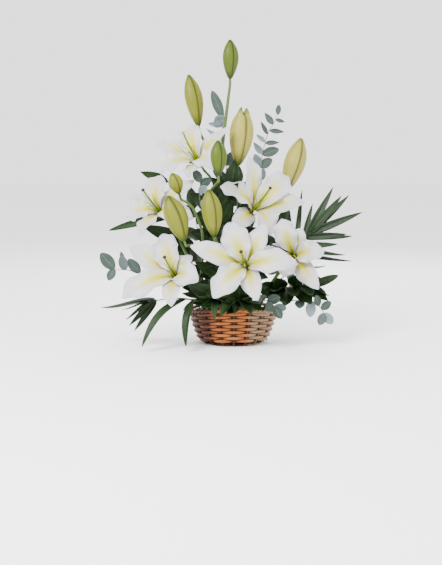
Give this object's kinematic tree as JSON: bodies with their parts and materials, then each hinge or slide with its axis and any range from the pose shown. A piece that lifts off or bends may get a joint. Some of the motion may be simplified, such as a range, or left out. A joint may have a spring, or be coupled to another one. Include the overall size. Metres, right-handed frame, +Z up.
{
  "type": "cut lilies and foliage in a round wicker basket",
  "caption": "Open white lilies, closed buds, eucalyptus, palm and broad green leaves arranged in a low round wicker basket.",
  "frame": {"origin": "centre of the underside of the basket, on the surface it stands on", "axes": "+Z up, -Y towards the side that the open flowers face, +X to the right of someone looking at that side"},
  "size_m": [0.5186, 0.3489, 0.602],
  "materials": {
    "willow": "peeled and stained willow, satin",
    "liner": "matt",
    "foam": "wet, matt",
    "tepal": "soft petal, satin",
    "pistil": "satin",
    "bud_green": "waxy",
    "bud_cream": "waxy",
    "stem": "satin",
    "leaf": "satin to glossy leaf",
    "eucalyptus": "matt, waxy bloom"
  },
  "bodies": {
    "root": {"back_greenery_left": "leaf", "back_greenery_middle": "leaf", "back_greenery_right": "leaf", "basket_frame": "willow", "basket_liner": "liner", "basket_rim": "willow", "basket_weaver": "willow", "bud_centre": "bud_cream", "bud_green_front": "bud_green", "bud_left_front": "bud_cream", "bud_low_centre": "bud_cream", "bud_right": "bud_cream", "bud_small_left": "bud_green", "bud_top": "bud_green", "bud_upper_left": "bud_cream", "eucalyptus_left": "eucalyptus", "eucalyptus_middle": "eucalyptus", "eucalyptus_right": "eucalyptus", "eucalyptus_rim": "eucalyptus", "eucalyptus_top": "eucalyptus", "eucalyptus_upper_right": "eucalyptus", "flower_foam": "foam", "greenery_centre": "leaf", "greenery_front": "leaf", "greenery_front_left": "leaf", "greenery_left": "leaf", "greenery_right": "leaf", "greenery_upper": "leaf", "lily_1_inner_tepals": "tepal", "lily_1_outer_tepals": "tepal", "lily_1_pistil": "pistil", "lily_2_inner_tepals": "tepal", "lily_2_outer_tepals": "tepal", "lily_2_pistil": "pistil", "lily_3_inner_tepals": "tepal", "lily_3_outer_tepals": "tepal", "lily_3_pistil": "pistil", "lily_4_inner_tepals": "tepal", "lily_4_outer_tepals": "tepal", "lily_4_pistil": "pistil", "lily_5_inner_tepals": "tepal", "lily_5_outer_tepals": "tepal", "lily_5_pistil": "pistil", "lily_6_inner_tepals": "tepal", "lily_6_outer_tepals": "tepal", "lily_6_pistil": "pistil", "long_leaf_front": "leaf", "long_leaf_left": "leaf", "palm_back_left": "leaf", "palm_back_right": "leaf", "palm_left": "leaf", "palm_right": "leaf", "rim_leaf_left": "leaf", "stem_1": "stem", "stem_2": "stem", "stem_3": "stem", "stem_4": "stem", "stem_5": "stem", "stem_6": "stem"}
  },
  "joints": []
}
